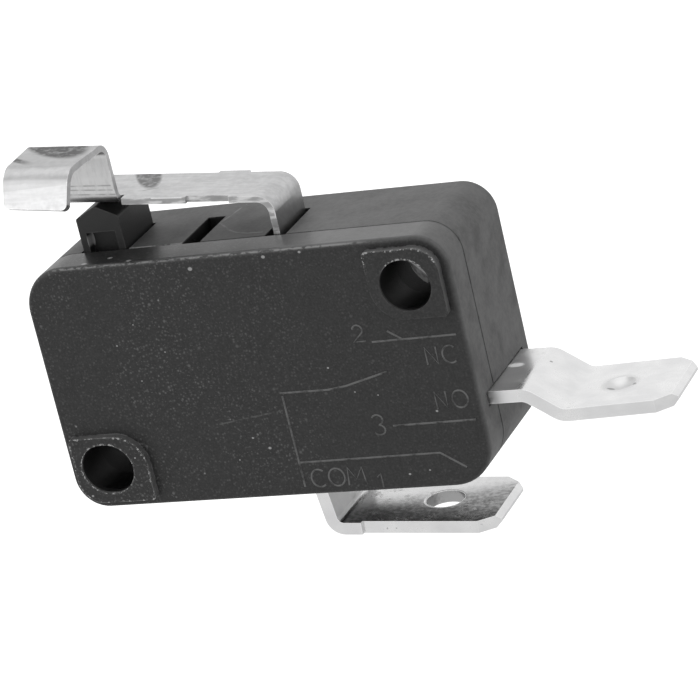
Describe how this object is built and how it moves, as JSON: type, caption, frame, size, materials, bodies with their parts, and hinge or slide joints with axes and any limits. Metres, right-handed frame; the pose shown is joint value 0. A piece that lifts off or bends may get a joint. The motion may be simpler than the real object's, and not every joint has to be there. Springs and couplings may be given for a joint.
{
  "type": "lever micro switch",
  "caption": "Snap-action micro switch in a dark moulded case, with a gabled plunger, a hinged metal lever folded into a hook, a stepped end tab and a tab folded under the case.",
  "frame": {"origin": "centre of the round mounting hole, half-way through the case", "axes": "+X along the case towards the end terminal, +Y through the case from the cover to the back, +Z from the case up to the lever"},
  "size_m": [0.039, 0.0132, 0.027],
  "materials": {
    "case_plastic": "dark grey glass-filled thermoplastic, fine moulded grain",
    "plunger_plastic": "black thermoplastic",
    "lever_steel": "bright stamped spring steel",
    "plated_brass": "stamped brass with bright silver-grey plating",
    "spring_bronze": "thin spring bronze",
    "contact_silver": "silver alloy contact rivet"
  },
  "bodies": {
    "case": {"case_body": "case_plastic", "case_cover": "case_plastic", "common_terminal": "plated_brass", "no_terminal": "plated_brass", "no_contact": "contact_silver", "rest_stop": "plated_brass"},
    "lever": {"lever": "lever_steel"},
    "plunger": {"plunger": "plunger_plastic"},
    "blade": {"contact_blade": "spring_bronze", "moving_contact": "contact_silver"}
  },
  "joints": [
    {"name": "lever_hinge", "type": "hinge", "parent": "case", "child": "lever", "pos_m": [-0.00865, 0, 0.0009], "axis": [0, -1, 0], "range_deg": [0, 8], "stiffness_Nm_per_rad": 0.04, "springref_deg": -5.73},
    {"name": "plunger_slide", "type": "slide", "parent": "case", "child": "plunger", "axis": [0, 0, -1], "range_m": [0, 0.00162]},
    {"name": "blade_turn", "type": "hinge", "parent": "case", "child": "blade", "pos_m": [-0.0224, 0, -0.00535], "axis": [0, 1, 0], "range_deg": [0, 1.86], "deforming": ["contact_blade"]}
  ],
  "couplings": [
    {"joint": "plunger_slide", "follows": "lever_hinge", "m_per_rad": 0.01157},
    {"joint": "blade_turn", "follows": "lever_hinge", "ratio": 0.23}
  ]
}
